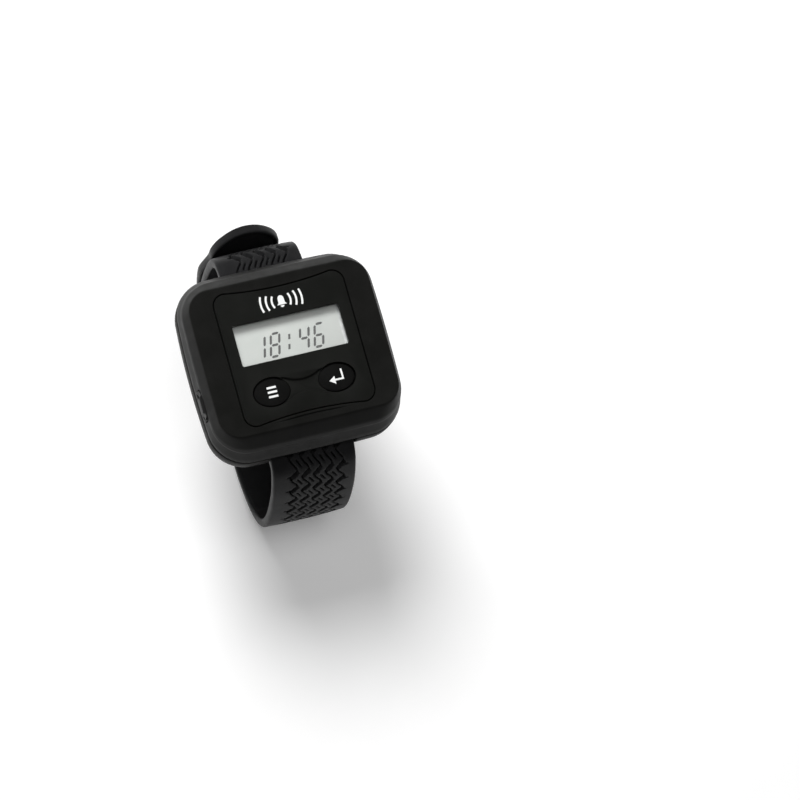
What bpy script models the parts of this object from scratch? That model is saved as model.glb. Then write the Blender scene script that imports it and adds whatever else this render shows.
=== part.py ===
"""Wrist pager, rest pose: worn closed, lying on its back plate.
Metres, +Z out of the display, +Y towards 12 o'clock, origin on the back plate."""
import bpy
import bmesh
import math
from mathutils import Vector

MM = 0.001

# ---- driving sizes (mm) -------------------------------------------------
CASE_W = 51.0            # across the wrist strap
CASE_L = 48.4            # along the strap, 6 to 12 o'clock
CASE_H = 16.5
CORNER_R = 10.0
PART_Z = 7.0             # split between the shells
SLOPE_Z = 13.2           # foot of the sloped shoulder
SLOPE_W = 49.4           # outline there: the walls below flare out to CASE_W, CASE_L
SLOPE_L = 43.4
SLOPE_R = 8.8
TOP_W = 46.2             # flat top, inside the shoulders
TOP_L = 37.8
TOP_R = 7.0
SEAM_GAP = 0.25
WALL = 1.9
CAVITY_L = 36.2          # inside the shells, between the strap recesses
GAP = 0.3                # air between touching pieces

PANEL_W = 33.6
PANEL_L = 34.2
PANEL_T = 1.0
PANEL_R = 3.2
WINDOW_W = 27.5
WINDOW_L = 10.5
WINDOW_Y = 3.1
BUTTON_X = 8.3
BUTTON_Y = -9.6
BUTTON_RX = 4.6
BUTTON_RY = 3.5

BOARD_Z = 7.4
BOARD_T = 1.0
BOSS_X = 18.4
BOSS_Y = 16.4
BOSS_R = 2.3
SCREW_R = 0.8
SCREW_TOP = 11.6
HEAD_R = 1.7
HEAD_Z = 0.35
HEAD_TOP = 1.55

STRAP_W = 21.8
STRAP_T = 2.6
NOTCH_W = 22.6
NOTCH_Y = 18.9           # inner end of the strap recess
BAR_Y = 21.8
BAR_Z = 3.4
BAR_R = 0.75
LOOP_R = 2.1             # strap end rolled round the bar

PORT_Y = -7.8
PORT_Z = 10.2
PORT_W = 8.4
PORT_H = 3.6
PLUG_SINK = 0.3          # the flared wall stands this far in at the port

# strap centre lines in the Y-Z plane, all in mm
SHORT_PATH = ((BAR_Y + 1.2, BAR_Z), (25.6, 3.4), (28.4, 2.0), (30.1, -1.2),
              (30.8, -5.5), (30.9, -10.5), (30.8, -15.5), (30.3, -21.0))
LONG_PATH = ((-BAR_Y - 1.2, BAR_Z), (-26.0, 2.2), (-28.6, -1.4), (-30.8, -6.4),
             (-32.3, -12.0), (-33.4, -18.0), (-33.8, -24.0), (-33.0, -30.0),
             (-30.2, -35.6), (-25.4, -39.9), (-19.0, -42.8), (-11.6, -44.2),
             (-3.6, -44.6), (4.4, -44.4), (11.6, -43.2), (18.4, -40.6),
             (24.6, -36.4), (28.8, -31.8))
TAIL_PATH = ((29.2, -31.2), (31.6, -27.6), (33.3, -23.0), (34.0, -18.0),
             (34.2, -13.0), (34.6, -8.0), (35.6, -3.4), (36.8, -0.4))
FLEX_Y = 30.1            # where the tail peels away from the long strap
FLEX_Z = -32.2
STUD_Z = -15.0
STUD_R = 1.3
SLOT_W = 3.9             # stud slots in the tail
SLOT_L = 5.6
SLOT_UP = 0.8

# ---- colours ------------------------------------------------------------
LOOKS = {
    "black_plastic": ((0.022, 0.022, 0.024, 1), 0.0, 0.48),
    "panel_plastic": ((0.016, 0.016, 0.018, 1), 0.0, 0.42),
    "strap_rubber": ((0.018, 0.018, 0.019, 1), 0.0, 0.62),
    "seal_rubber": ((0.03, 0.03, 0.032, 1), 0.0, 0.7),
    "clear_lens": ((0.82, 0.85, 0.84, 1), 0.0, 0.05),
    "lcd_glass": ((0.62, 0.66, 0.62, 1), 0.0, 0.12),
    "light_guide": ((0.9, 0.92, 0.88, 1), 0.0, 0.3),
    "circuit_board": ((0.02, 0.16, 0.07, 1), 0.0, 0.45),
    "chip_black": ((0.03, 0.03, 0.032, 1), 0.0, 0.5),
    "bright_steel": ((0.62, 0.62, 0.63, 1), 1.0, 0.28),
    "copper_wire": ((0.6, 0.28, 0.12, 1), 1.0, 0.35),
    "battery_foil": ((0.55, 0.56, 0.58, 1), 1.0, 0.4),
    "foam": ((0.05, 0.05, 0.055, 1), 0.0, 0.9),
    "tungsten": ((0.36, 0.36, 0.37, 1), 1.0, 0.4),
}

for old in list(bpy.data.objects):
    bpy.data.objects.remove(old, do_unlink=True)

SCENE = bpy.context.scene
MATS = {}


def material(name):
    """One Principled material per slot name."""
    if name in MATS:
        return MATS[name]
    colour, metal, rough = LOOKS[name]
    mat = bpy.data.materials.new(name)
    mat.use_nodes = True
    shader = mat.node_tree.nodes["Principled BSDF"]
    shader.inputs["Base Color"].default_value = colour
    shader.inputs["Metallic"].default_value = metal
    shader.inputs["Roughness"].default_value = rough
    mat.diffuse_color = colour
    MATS[name] = mat
    return mat


def new_object(name, bm, slot=None, smooth=False, at=(0, 0, 0)):
    """bm is built in mm about `at`; the object sits at `at`."""
    bmesh.ops.scale(bm, vec=(MM, MM, MM), verts=bm.verts)
    bmesh.ops.recalc_face_normals(bm, faces=bm.faces)
    mesh = bpy.data.meshes.new(name)
    bm.to_mesh(mesh)
    bm.free()
    obj = bpy.data.objects.new(name, mesh)
    SCENE.collection.objects.link(obj)
    obj.location = Vector(at) * MM
    if slot:
        mesh.materials.append(material(slot))
    if smooth:
        for face in mesh.polygons:
            face.use_smooth = True
    return obj


def rounded(w, l, r, seg=5, cx=0.0, cy=0.0):
    """Corner-rounded rectangle, counter-clockwise."""
    pts = []
    centres = ((1, 1, 0), (-1, 1, 90), (-1, -1, 180), (1, -1, 270))
    for sx, sy, start in centres:
        for i in range(seg + 1):
            a = math.radians(start + 90.0 * i / seg)
            x = cx + sx * (w / 2 - r) + r * math.cos(a)
            y = cy + sy * (l / 2 - r) + r * math.sin(a)
            pts.append((x, y))
    return pts


def oval(rx, ry, seg=28, cx=0.0, cy=0.0):
    """Ellipse, counter-clockwise."""
    pts = []
    for i in range(seg):
        a = 2 * math.pi * i / seg
        pts.append((cx + rx * math.cos(a), cy + ry * math.sin(a)))
    return pts


def loft(sections, plane="XY"):
    """Closed body through outlines of equal length at rising heights."""
    bm = bmesh.new()
    rings = []
    for pts, h in sections:
        ring = []
        for a, b in pts:
            if plane == "XY":
                co = (a, b, h)
            elif plane == "YZ":
                co = (h, a, b)
            else:
                co = (a, h, b)
            ring.append(bm.verts.new(co))
        rings.append(ring)
    n = len(rings[0])
    for low, high in zip(rings, rings[1:]):
        for i in range(n):
            j = (i + 1) % n
            bm.faces.new((low[i], low[j], high[j], high[i]))
    bm.faces.new(rings[0][::-1])
    bm.faces.new(rings[-1])
    return bm


def slab(pts, z0, z1, plane="XY"):
    return loft([(pts, z0), (pts, z1)], plane)


def boolean(obj, tool_bm, how="DIFFERENCE"):
    """Cut or add one body; the tool stays hidden in the scene."""
    tool = new_object("tool_" + obj.name, tool_bm)
    tool.hide_render = True
    tool.display_type = "WIRE"
    mod = obj.modifiers.new("bool", "BOOLEAN")
    mod.operation = how
    mod.object = tool
    mod.solver = "EXACT"
    deps = bpy.context.evaluated_depsgraph_get()
    done = bpy.data.meshes.new_from_object(obj.evaluated_get(deps))
    obj.modifiers.clear()
    old = obj.data
    obj.data = done
    bpy.data.meshes.remove(old)
    bpy.data.objects.remove(tool, do_unlink=True)


def cut_with(obj, tool):
    """Subtract an object made with boolean(), then drop it."""
    bm = bmesh.new()
    bm.from_mesh(tool.data)
    bmesh.ops.scale(bm, vec=(1 / MM, 1 / MM, 1 / MM), verts=bm.verts)
    bpy.data.objects.remove(tool, do_unlink=True)
    boolean(obj, bm)


def simple(name, slot, pts, z0, z1, plane="XY", smooth=False):
    return new_object(name, slab(pts, z0, z1, plane), slot, smooth)


# ---- case ---------------------------------------------------------------
def case_section(inset, seg=6):
    r = max(CORNER_R - inset, 1.0)
    return rounded(CASE_W - 2 * inset, CASE_L - 2 * inset, r, seg)


def corner_spots():
    """The four screw positions, 12 o'clock side first."""
    return [(sx * BOSS_X, sy * BOSS_Y) for sy in (1, -1) for sx in (-1, 1)]


def front_shell():
    top = rounded(TOP_W, TOP_L, TOP_R, 6)
    shoulder = rounded(SLOPE_W, SLOPE_L, SLOPE_R, 6)
    body = loft([(case_section(0.0), PART_Z), (shoulder, SLOPE_Z), (top, CASE_H)])
    obj = new_object("front_shell", body, "black_plastic")
    low = rounded(CASE_W - 2 * WALL, CAVITY_L, 6.0, 6)
    high = rounded(TOP_W - 4.0, TOP_L - 4.0, 5.6, 6)
    boolean(obj, loft([(low, PART_Z - 1), (low, 11.6), (high, CASE_H - 2.6)]))
    seat = rounded(PANEL_W + 0.5, PANEL_L + 0.5, PANEL_R + 0.25)
    boolean(obj, slab(seat, CASE_H - PANEL_T - GAP, CASE_H + 1))
    boolean(obj, slab(rounded(31.2, 31.6, 2.4), CASE_H - 4, CASE_H))
    for x, y in corner_spots():
        boolean(obj, slab(oval(BOSS_R, BOSS_R, 16, x, y), PART_Z, CASE_H - 2.4), "UNION")
        bore = oval(SCREW_R + 0.25, SCREW_R + 0.25, 12, x, y)
        boolean(obj, slab(bore, PART_Z - 1, SCREW_TOP + 0.6))
    port = rounded(PORT_W, PORT_H, 1.4, 4, PORT_Y, PORT_Z)
    boolean(obj, slab(port, -CASE_W / 2 - 1, -CASE_W / 2 + WALL + 1.5, "YZ"))


def rear_shell():
    foot = rounded(CASE_W - 5.0, CASE_L - 5.0, CORNER_R - 2.2, 6)
    mid = rounded(CASE_W - 1.2, CASE_L - 1.2, CORNER_R - 0.5, 6)
    rim = PART_Z - SEAM_GAP
    body = loft([(foot, 0.0), (mid, 1.5), (case_section(0.0), 3.4), (case_section(0.0), rim)])
    obj = new_object("rear_shell", body, "black_plastic")
    for sy in (-1, 1):
        far = CASE_L / 2 + 4
        box = rounded(NOTCH_W, far - NOTCH_Y, 0.2, 1, 0.0, sy * (NOTCH_Y + far) / 2)
        boolean(obj, slab(box, -1.0, PART_Z + 1))
    boolean(obj, slab(rounded(43.0, 34.4, 5.0), 1.5, PART_Z + 1))
    for x, y in corner_spots():
        boolean(obj, slab(oval(2.9, 2.9, 16, x, y), 0.6, rim), "UNION")
        boolean(obj, slab(oval(HEAD_R + GAP, HEAD_R + GAP, 16, x, y), -1.0, 1.9))
        boolean(obj, slab(oval(1.15, 1.15, 12, x, y), -1.0, PART_Z + 1))
    plug = new_object("groove", slab(rounded(45.3, 36.9, 4.2, 5), PART_Z - 0.9, PART_Z + 1))
    boolean(plug, slab(rounded(43.3, 34.9, 3.2, 5), PART_Z - 2, PART_Z + 2))
    cut_with(obj, plug)
    for sy in (-1, 1):
        for sx in (-1, 1):
            pocket = oval(BAR_R + GAP, BAR_R + GAP, 12, sy * BAR_Y, BAR_Z)
            a = sx * (NOTCH_W / 2 - 0.5)
            b = sx * (NOTCH_W / 2 + 1.7)
            boolean(obj, slab(pocket, min(a, b), max(a, b), "YZ"))


def case_screws():
    for n, (x, y) in enumerate(corner_spots(), 1):
        body = loft([
            (oval(HEAD_R, HEAD_R, 14), HEAD_Z), (oval(HEAD_R, HEAD_R, 14), HEAD_TOP),
            (oval(SCREW_R, SCREW_R, 14), HEAD_TOP + 0.05), (oval(SCREW_R, SCREW_R, 14), SCREW_TOP)])
        obj = new_object("case_screw_%d" % n, body, "bright_steel", False, (x, y, 0))
        boolean(obj, slab(rounded(2.4, 0.5, 0.1, 1, x, y), -0.5, 0.9))


def case_gasket():
    outer = rounded(45.0, 36.6, 4.1, 5)
    inner = rounded(43.6, 35.2, 3.4, 5)
    obj = simple("case_gasket", "seal_rubber", outer, PART_Z - 0.8, PART_Z - 0.05)
    boolean(obj, slab(inner, PART_Z - 1, PART_Z + 1))
    return obj


# ---- face ---------------------------------------------------------------
def face_panel():
    z0 = CASE_H - PANEL_T
    obj = simple("face_panel", "panel_plastic", rounded(PANEL_W, PANEL_L, PANEL_R), z0, CASE_H)
    boolean(obj, slab(rounded(WINDOW_W, WINDOW_L, 0.7, 3, 0, WINDOW_Y), z0 - 1, CASE_H + 1))
    for sx in (-1, 1):
        hole = oval(BUTTON_RX + 0.35, BUTTON_RY + 0.35, 28, sx * BUTTON_X, BUTTON_Y)
        boolean(obj, slab(hole, z0 - 1, CASE_H + 1))
    return obj


def buttons():
    for name, sx in (("mode_button", -1), ("enter_button", 1)):
        at = (sx * BUTTON_X, BUTTON_Y, 0)
        rx = BUTTON_RX
        ry = BUTTON_RY
        n = 28
        body = loft([
            (oval(1.3, 1.3, n), 12.1), (oval(1.3, 1.3, n), 14.0),
            (oval(rx + 0.9, ry + 0.9, n), 14.05), (oval(rx + 0.9, ry + 0.9, n), 14.8),
            (oval(rx, ry, n), 14.85), (oval(rx, ry, n), 16.2),
            (oval(rx - 0.5, ry - 0.5, n), 16.55), (oval(rx - 2.2, ry - 2.0, n), 16.75)])
        new_object(name, body, "panel_plastic", False, at)
    for name, sx in (("mode_switch", -1), ("enter_switch", 1)):
        base = rounded(4.6, 4.6, 0.4, 2, sx * BUTTON_X, BUTTON_Y)
        z0 = BOARD_Z + BOARD_T + GAP - 0.1
        obj = simple(name, "chip_black", base, z0, 10.4)
        knob = oval(1.1, 1.1, 14, sx * BUTTON_X, BUTTON_Y)
        boolean(obj, slab(knob, 9.8, 11.2), "UNION")


def display_stack():
    simple("display_window", "clear_lens", rounded(30.2, 13.0, 0.9, 3, 0, WINDOW_Y), 14.5, 15.2)
    simple("lcd_module", "lcd_glass", rounded(30.2, 15.4, 0.4, 1, 0, WINDOW_Y + 0.9), 12.6, 14.2)
    simple("light_guide", "light_guide", rounded(29.6, 11.2, 0.4, 1, 0, WINDOW_Y - 0.6), 11.0, 12.3)
    strip = rounded(27.0, 2.0, 0.3, 1, 0, WINDOW_Y + 6.9)
    simple("lcd_connector", "seal_rubber", strip, BOARD_Z + BOARD_T + 0.2, 12.4)


# ---- electronics --------------------------------------------------------
# name, look, width, length, corner, x, y, bottom, top
BLOCKS = (
    ("processor_chip", "chip_black", 9.0, 9.0, 0.4, 0.0, 2.0, 8.55, 9.6),
    ("radio_chip", "chip_black", 5.0, 5.0, 0.3, 13.0, 3.0, 8.55, 9.5),
    ("crystal_can", "bright_steel", 3.2, 6.4, 1.5, -11.0, 3.0, 8.55, 10.3),
    ("battery", "battery_foil", 32.0, 19.2, 1.6, 2.2, -3.2, 1.85, 6.4),
    ("battery_pad", "foam", 24.0, 14.0, 0.6, 2.2, -3.2, 6.65, 7.15),
    ("buzzer", "chip_black", 8.0, 8.0, 3.95, 12.4, 11.6, 2.6, 6.9),
)
COIL_R = 1.4
COIL_Y = 15.4
COIL_HALF = 11.0
MOTOR_R = 2.1
MOTOR_Y = 12.4
MOTOR_Z = 4.3
SHAFT_R = 0.45
WEIGHT_X = -0.9
WEIGHT_R = 2.3


def electronics():
    top = BOARD_Z + BOARD_T
    board = simple("main_board", "circuit_board", rounded(43.6, 35.4, 5.4), BOARD_Z, top)
    for x, y in corner_spots():
        boolean(board, slab(oval(BOSS_R + 0.4, BOSS_R + 0.4, 16, x, y), 0, 20))
    for name, look, w, l, r, x, y, z0, z1 in BLOCKS:
        simple(name, look, rounded(w, l, r, 4, x, y), z0, z1)
    rod = oval(COIL_R, COIL_R, 16, COIL_Y, top + COIL_R + 0.4)
    new_object("antenna_coil", slab(rod, -COIL_HALF, COIL_HALF, "YZ"), "copper_wire", True)
    can = slab(oval(MOTOR_R, MOTOR_R, 20, MOTOR_Y, MOTOR_Z), -13.0, -3.4, "YZ")
    motor = new_object("vibration_motor", can, "bright_steel", False)
    shaft = slab(oval(SHAFT_R, SHAFT_R, 10, MOTOR_Y, MOTOR_Z), -4.0, 0.9, "YZ")
    boolean(motor, shaft, "UNION")
    eccentric_weight()
    x0 = -CASE_W / 2 + WALL + 0.9
    socket = rounded(7.4, 2.7, 0.6, 2, PORT_Y, PORT_Z)
    shell = simple("charging_socket", "bright_steel", socket, x0, x0 + 5.4, "YZ")
    boolean(shell, slab(rounded(6.6, 1.9, 0.4, 2, PORT_Y, PORT_Z), x0 - 1, x0 + 4.6, "YZ"))


def eccentric_weight():
    """Half-round weight hanging below the motor shaft."""
    pts = []
    for i in range(13):
        a = math.radians(180 + 180.0 * i / 12)
        pts.append((WEIGHT_R * math.cos(a), WEIGHT_R * math.sin(a)))
    pts += [(0.95, 0.85), (-0.95, 0.85)]
    at = (WEIGHT_X, MOTOR_Y, MOTOR_Z)
    obj = new_object("motor_weight", slab(pts, -1.5, 1.5, "YZ"), "tungsten", False, at)
    boolean(obj, slab(oval(0.7, 0.7, 12, MOTOR_Y, MOTOR_Z), -4.0, 2.0, "YZ"))


def port_plug():
    x0 = -CASE_W / 2 + PLUG_SINK
    plug = rounded(PORT_W - 0.6, PORT_H - 0.6, 1.1, 4)
    lip = rounded(PORT_W - 2.4, PORT_H - 2.4, 0.5, 4)
    body = loft([(lip, -0.1), (plug, 0.25), (plug, 2.1)], "YZ")
    new_object("port_plug", body, "seal_rubber", False, (x0, PORT_Y, PORT_Z))


# ---- strap --------------------------------------------------------------
def normals(path):
    """Left-hand unit normals of a Y-Z path."""
    out = []
    for i in range(len(path)):
        a = Vector(path[max(i - 1, 0)])
        b = Vector(path[min(i + 1, len(path) - 1)])
        t = (b - a).normalized()
        out.append(Vector((-t.y, t.x)))
    return out


def band(path, widths, thick=STRAP_T, origin=(0.0, 0.0), bevel=0.5):
    """Rounded-edge strip swept along a Y-Z path."""
    bm = bmesh.new()
    rings = []
    oy, oz = origin
    for p, n, w in zip(path, normals(path), widths):
        h = w / 2
        t = thick / 2
        c = min(bevel, t * 0.8)
        outline = ((-h + c, -t), (h - c, -t), (h, -t + c), (h, t - c),
                   (h - c, t), (-h + c, t), (-h, t - c), (-h, -t + c))
        ring = []
        for x, d in outline:
            y = p[0] + n.x * d - oy
            z = p[1] + n.y * d - oz
            ring.append(bm.verts.new((x, y, z)))
        rings.append(ring)
    k = len(rings[0])
    for low, high in zip(rings, rings[1:]):
        for i in range(k):
            j = (i + 1) % k
            bm.faces.new((low[i], low[j], high[j], high[i]))
    bm.faces.new(rings[0][::-1])
    bm.faces.new(rings[-1])
    return bm


def strap_piece(name, path, widths, pivot, bar_y=None):
    at = (0, pivot[0], pivot[1])
    obj = new_object(name, band(path, widths, STRAP_T, pivot), "strap_rubber", False, at)
    if bar_y is not None:
        ring = oval(LOOP_R, LOOP_R, 20, bar_y, BAR_Z)
        boolean(obj, slab(ring, -STRAP_W / 2, STRAP_W / 2, "YZ"), "UNION")
        hole = oval(BAR_R + 0.3, BAR_R + 0.3, 14, bar_y, BAR_Z)
        boolean(obj, slab(hole, -STRAP_W, STRAP_W, "YZ"))
    return obj


def straps():
    full = STRAP_W
    short_w = [full] * (len(SHORT_PATH) - 1) + [full - 5.0]
    short = strap_piece("strap_short", SHORT_PATH, short_w, (BAR_Y, BAR_Z), BAR_Y)
    eye = oval(STUD_R + 0.3, STUD_R + 0.3, 16, 0.0, STUD_Z)
    boolean(short, slab(eye, 25.0, 40.0, "XZ"))
    long_w = [full] * len(LONG_PATH)
    strap_piece("strap_long", LONG_PATH, long_w, (-BAR_Y, BAR_Z), -BAR_Y)
    tail_w = [full, full, full, full, full, full - 0.6, full - 4.4, full - 12.5]
    tail = strap_piece("strap_tail", TAIL_PATH, tail_w, (FLEX_Y, FLEX_Z))
    for dz in (-8.6, 0.0):
        slot = rounded(SLOT_W, SLOT_L, SLOT_W / 2 - 0.05, 5, 0.0, STUD_Z + dz + SLOT_UP)
        boolean(tail, slab(slot, 24.0, 44.0, "XZ"))
    stud = loft([
        (oval(3.1, 3.1, 18), 28.5), (oval(3.1, 3.1, 18), 29.15),
        (oval(STUD_R, STUD_R, 18), 29.2), (oval(STUD_R, STUD_R, 18), 35.0),
        (oval(STUD_R - 0.5, STUD_R - 0.5, 18), 35.4)], "XZ")
    for v in stud.verts:
        v.co.y -= BAR_Y
        v.co.z += STUD_Z - BAR_Z
    new_object("closure_stud", stud, "chip_black", False, (0, BAR_Y, BAR_Z))
    for name, sy in (("spring_bar_12", 1), ("spring_bar_6", -1)):
        tip = BAR_R - 0.25
        half = NOTCH_W / 2
        ring_a = oval(tip, tip, 14, sy * BAR_Y, BAR_Z)
        ring_b = oval(BAR_R, BAR_R, 14, sy * BAR_Y, BAR_Z)
        bar = loft([(ring_a, -half - 1.3), (ring_a, -half + 0.2), (ring_b, -half + 0.25),
                    (ring_b, half - 0.25), (ring_a, half - 0.2), (ring_a, half + 1.3)], "YZ")
        new_object(name, bar, "bright_steel", False)


front_shell()
rear_shell()
case_screws()
case_gasket()
face_panel()
buttons()
display_stack()
electronics()
port_plug()
straps()
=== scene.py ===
"""Looks of the wrist pager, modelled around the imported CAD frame. Mesh code works in mm."""
import math
import bpy
import bmesh
import numpy as np
from mathutils import Matrix, Vector


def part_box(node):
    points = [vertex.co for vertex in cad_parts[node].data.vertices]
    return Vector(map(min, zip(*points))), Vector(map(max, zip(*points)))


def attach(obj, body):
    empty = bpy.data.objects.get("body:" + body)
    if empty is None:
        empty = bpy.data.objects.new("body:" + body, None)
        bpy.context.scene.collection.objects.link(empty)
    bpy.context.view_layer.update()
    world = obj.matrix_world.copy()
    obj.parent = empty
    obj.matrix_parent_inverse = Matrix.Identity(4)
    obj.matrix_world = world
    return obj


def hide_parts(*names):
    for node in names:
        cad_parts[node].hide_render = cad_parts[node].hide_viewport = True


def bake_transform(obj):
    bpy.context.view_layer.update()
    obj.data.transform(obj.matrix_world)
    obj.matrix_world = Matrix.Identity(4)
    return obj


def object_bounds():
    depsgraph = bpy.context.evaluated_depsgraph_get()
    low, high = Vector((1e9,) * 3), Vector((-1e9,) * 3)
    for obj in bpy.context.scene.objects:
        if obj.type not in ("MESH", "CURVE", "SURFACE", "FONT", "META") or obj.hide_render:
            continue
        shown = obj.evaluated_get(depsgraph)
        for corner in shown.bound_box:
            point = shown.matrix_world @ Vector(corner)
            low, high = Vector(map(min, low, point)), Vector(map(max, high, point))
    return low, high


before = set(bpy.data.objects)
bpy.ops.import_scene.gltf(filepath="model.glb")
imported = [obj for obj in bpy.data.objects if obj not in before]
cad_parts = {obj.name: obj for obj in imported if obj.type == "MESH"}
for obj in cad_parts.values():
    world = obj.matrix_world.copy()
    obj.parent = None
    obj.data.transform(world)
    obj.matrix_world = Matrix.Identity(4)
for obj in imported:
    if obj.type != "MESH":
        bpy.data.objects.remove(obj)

CAD_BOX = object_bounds()
MM = 0.001
SCENE = bpy.context.scene

# ---- sizes in mm, as the CAD has them --------------------------------------
CASE_W = 50.0            # at the corners; the sides bow out to 51
CASE_L = 48.0
CASE_R = 9.6
CASE_H = 16.5
PART_Z = 7.0
SLOPE_Z = 12.5           # a little lower than the flat band on the CAD
SLOPE_W = 49.2
SLOPE_L = 43.9
SLOPE_R = 8.8
TOP_W = 46.2
TOP_L = 37.8
TOP_R = 5.2
PANEL_W = 33.6
PANEL_L = 34.2
PANEL_R = 3.0
PANEL_WAIST = 1.05
MARK_Y = 12.4
WINDOW_W = 27.5
WINDOW_L = 10.5
WINDOW_Y = 3.4
BUTTON_X = 8.3
BUTTON_Y = -9.6
BUTTON_RX = 4.6
BUTTON_RY = 3.45
BUTTON_GAP = 0.36        # round the outer side of each button
WELL_END = 0.3           # how far the well reaches past each button
WELL_WAIST = 1.25        # half the well's width between the buttons
POCKET_Z = 15.95
LCD_Z = 14.2
LCD_Y = WINDOW_Y + 0.9   # middle of the display's glass
LENS_Z = (14.5, 15.2)    # under and upper face of the clear window
NOTCH_W = 22.6
NOTCH_Y = 18.9
BOSS_X = 18.4
BOSS_Y = 16.4
BAR_Y = 21.8
BAR_Z = 3.4
BAR_R = 0.75
STRAP_HALF = 10.9
STRAP_T = 1.3            # half the strap's thickness
LOOP_R = 2.1
PORT_Y = -7.8
PORT_Z = 10.2
PORT_W = 8.4
PORT_H = 3.6
PLUG_FACE = -25.5        # x of the plug's outer face
STUD_Z = -15.0
STUD_R = 1.3
SLOT_W = 3.9
SLOT_L = 5.6
SLOT_UP = 0.8
SLOT_PITCH = 8.6
SLOT_COLLAR = 3.3        # radius without tread round a slot
STUD_COLLAR = 2.2

# strap centre lines in the Y-Z plane, as the CAD has them
SHORT_PATH = ((BAR_Y, BAR_Z), (25.6, 3.4), (28.4, 2.0), (30.1, -1.2),
              (30.8, -5.5), (30.9, -10.5), (30.8, -15.5), (30.3, -21.0))
LONG_PATH = ((-BAR_Y, BAR_Z), (-26.0, 2.2), (-28.6, -1.4), (-30.8, -6.4),
             (-32.3, -12.0), (-33.4, -18.0), (-33.8, -24.0), (-33.0, -30.0),
             (-30.2, -35.6), (-25.4, -39.9), (-19.0, -42.8), (-11.6, -44.2),
             (-3.6, -44.6), (4.4, -44.4), (11.6, -43.2), (18.4, -40.6),
             (24.6, -36.4), (29.0, -31.5), (31.6, -27.6), (33.3, -23.0),
             (34.0, -18.0), (34.2, -13.0), (34.6, -8.0), (35.6, -3.4), (36.8, -0.4))


# ---- node materials --------------------------------------------------------
class Graph:
    """A Principled material and the few nodes that drive it."""

    def __init__(self, name):
        self.mat = bpy.data.materials.new(name)
        self.mat.use_nodes = True
        self.tree = self.mat.node_tree
        self.shader = self.tree.nodes["Principled BSDF"]
        self.coords = self.node("ShaderNodeTexCoord")
        self.bumps = None

    def node(self, kind, **values):
        made = self.tree.nodes.new(kind)
        for key, value in values.items():
            setattr(made, key, value)
        return made

    def link(self, a, b):
        self.tree.links.new(a, b)

    def noise(self, size_mm, detail=3.0, rough=0.55, stretch=(1, 1, 1)):
        """Noise with features about size_mm across, 0 to 1."""
        scale = self.node("ShaderNodeMapping")
        scale.inputs["Scale"].default_value = [s / (size_mm * MM) for s in stretch]
        self.link(self.coords.outputs["Object"], scale.inputs["Vector"])
        tex = self.node("ShaderNodeTexNoise")
        tex.inputs["Scale"].default_value = 1.0
        tex.inputs["Detail"].default_value = detail
        tex.inputs["Roughness"].default_value = rough
        self.link(scale.outputs["Vector"], tex.inputs["Vector"])
        return tex.outputs["Fac"]

    def ramp(self, fac, low, high, a, b):
        """Maps fac from low..high to a..b."""
        made = self.node("ShaderNodeMapRange")
        made.inputs["From Min"].default_value = low
        made.inputs["From Max"].default_value = high
        made.inputs["To Min"].default_value = a
        made.inputs["To Max"].default_value = b
        self.link(fac, made.inputs["Value"])
        return made.outputs["Result"]

    def mix(self, fac, a, b):
        made = self.node("ShaderNodeMix", data_type="RGBA")
        if hasattr(a, "links"):
            self.link(a, made.inputs[6])
        else:
            made.inputs[6].default_value = (*a, 1)
        made.inputs[7].default_value = (*b, 1)
        self.link(fac, made.inputs[0])
        return made.outputs[2]

    def bump(self, height, strength, depth_mm):
        made = self.node("ShaderNodeBump")
        made.inputs["Strength"].default_value = strength
        made.inputs["Distance"].default_value = depth_mm * MM
        self.link(height, made.inputs["Height"])
        if self.bumps is not None:
            self.link(self.bumps, made.inputs["Normal"])
        self.bumps = made.outputs["Normal"]

    def done(self, colour=None, rough=None, **fixed):
        if colour is not None:
            self.link(colour, self.shader.inputs["Base Color"])
        if rough is not None:
            self.link(rough, self.shader.inputs["Roughness"])
        if self.bumps is not None:
            self.link(self.bumps, self.shader.inputs["Normal"])
        for key, value in fixed.items():
            self.shader.inputs[key.replace("_", " ")].default_value = value
        return self.mat


def moulded(name, dark, light, rough, grain_mm, grain_bump, **fixed):
    """Moulded plastic or rubber: cloudy tone, fine grain, a painted highlight on convex edges and painted
    shade in grooves.
    """
    g = Graph(name)
    cloud = g.noise(7.0, 4.0)
    speck = g.noise(grain_mm * 1.6, 2.0)
    tone = g.mix(g.ramp(cloud, 0.3, 0.7, 0, 1), dark, light)
    tone = g.mix(g.ramp(speck, 0.62, 0.8, 0, 0.35), tone, [c * 2.0 for c in light])
    edge = g.node("ShaderNodeNewGeometry").outputs["Pointiness"]
    # painted highlight: convex edges (high pointiness) are made paler
    tone = g.mix(g.ramp(edge, 0.52, 0.6, 0, 0.35), tone, [c * 2.0 for c in light])
    # painted shade: creases and grooves (low pointiness) are darkened nearly to black
    tone = g.mix(g.ramp(edge, 0.42, 0.485, 0.85, 0), tone, (0.001, 0.001, 0.001))
    spread = g.ramp(g.noise(2.6, 5.0), 0.25, 0.75, rough - 0.05, rough + 0.06)
    g.bump(g.noise(grain_mm, 2.5, 0.6), grain_bump, grain_mm * 0.35)
    g.bump(g.noise(3.5, 2.0), 0.06, 0.06)
    return g.done(tone, spread, **fixed)


def metal(name, dark, light, rough, stretch=(1, 1, 1)):
    g = Graph(name)
    streak = g.noise(1.2, 4.0, 0.6, stretch)
    tone = g.mix(g.ramp(streak, 0.3, 0.7, 0, 1), dark, light)
    g.bump(g.noise(0.3, 3.0, 0.6, stretch), 0.15, 0.05)
    return g.done(tone, g.ramp(streak, 0.2, 0.8, rough - 0.08, rough + 0.1), Metallic=1.0)


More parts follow.
